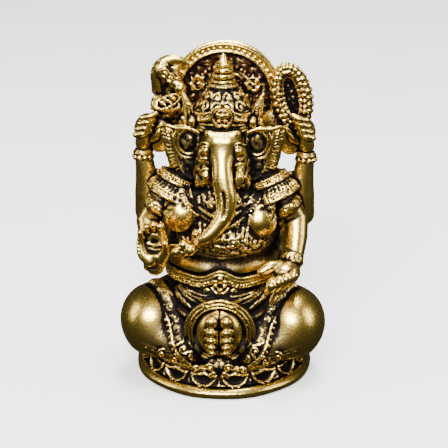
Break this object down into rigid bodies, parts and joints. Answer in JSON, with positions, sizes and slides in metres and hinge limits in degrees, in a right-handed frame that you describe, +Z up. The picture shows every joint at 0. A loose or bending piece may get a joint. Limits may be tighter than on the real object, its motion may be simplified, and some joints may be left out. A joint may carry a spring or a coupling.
{
  "type": "seated deity statuette",
  "caption": "Pocket-size cast brass statuette of a seated, four-armed, elephant-headed deity with crown and halo, on a round lotus seat.",
  "frame": {"origin": "middle of the bounding box's bottom face, on the underside of the plinth", "axes": "+Z up through the seat and the head; the figure faces -Y; the figure's own left side is at +X"},
  "size_m": [0.028, 0.0244, 0.0451],
  "materials": {
    "polished_brass": "cast brass, rubbed bright on the high surfaces",
    "aged_brass": "cast brass, antiqued, with dark tone left in the ornament",
    "dark_patina": "cast brass with a dark brown patina"
  },
  "bodies": {
    "root": {"plinth": "polished_brass", "lotus_seat": "aged_brass", "torso": "polished_brass", "hips": "dark_patina", "right_leg": "polished_brass", "left_leg": "polished_brass", "lap_cloth": "dark_patina", "right_foot": "polished_brass", "left_foot": "polished_brass", "foot_frame": "aged_brass", "belt": "aged_brass", "belt_clasp": "aged_brass", "right_swag": "aged_brass", "left_swag": "aged_brass", "right_hem": "aged_brass", "left_hem": "aged_brass", "head": "polished_brass", "trunk": "polished_brass", "right_tusk": "polished_brass", "left_tusk": "polished_brass", "right_ear": "aged_brass", "left_ear": "aged_brass", "crown_band": "aged_brass", "crown_dome": "aged_brass", "crown_spire": "polished_brass", "crown_crest": "polished_brass", "right_crown_wing": "aged_brass", "left_crown_wing": "aged_brass", "halo_plate": "dark_patina", "halo_rim": "polished_brass", "right_upper_cape": "aged_brass", "left_upper_cape": "aged_brass", "right_lower_cape": "aged_brass", "left_lower_cape": "aged_brass", "necklace": "aged_brass", "right_upper_arm": "polished_brass", "left_upper_arm": "polished_brass", "right_forearm": "polished_brass", "left_forearm": "polished_brass", "right_bangle": "aged_brass", "left_bangle": "aged_brass", "right_hand": "polished_brass", "left_hand": "polished_brass", "right_rear_upper_arm": "polished_brass", "left_rear_upper_arm": "polished_brass", "right_rear_forearm": "polished_brass", "left_rear_forearm": "polished_brass", "right_rear_bangle": "aged_brass", "left_rear_bangle": "aged_brass", "right_rear_hand": "polished_brass", "left_rear_hand": "polished_brass", "axe_cup": "aged_brass", "axe_head": "aged_brass", "axe_blade": "polished_brass", "noose": "aged_brass", "broken_tusk": "polished_brass", "sweet": "polished_brass"}
  },
  "joints": []
}
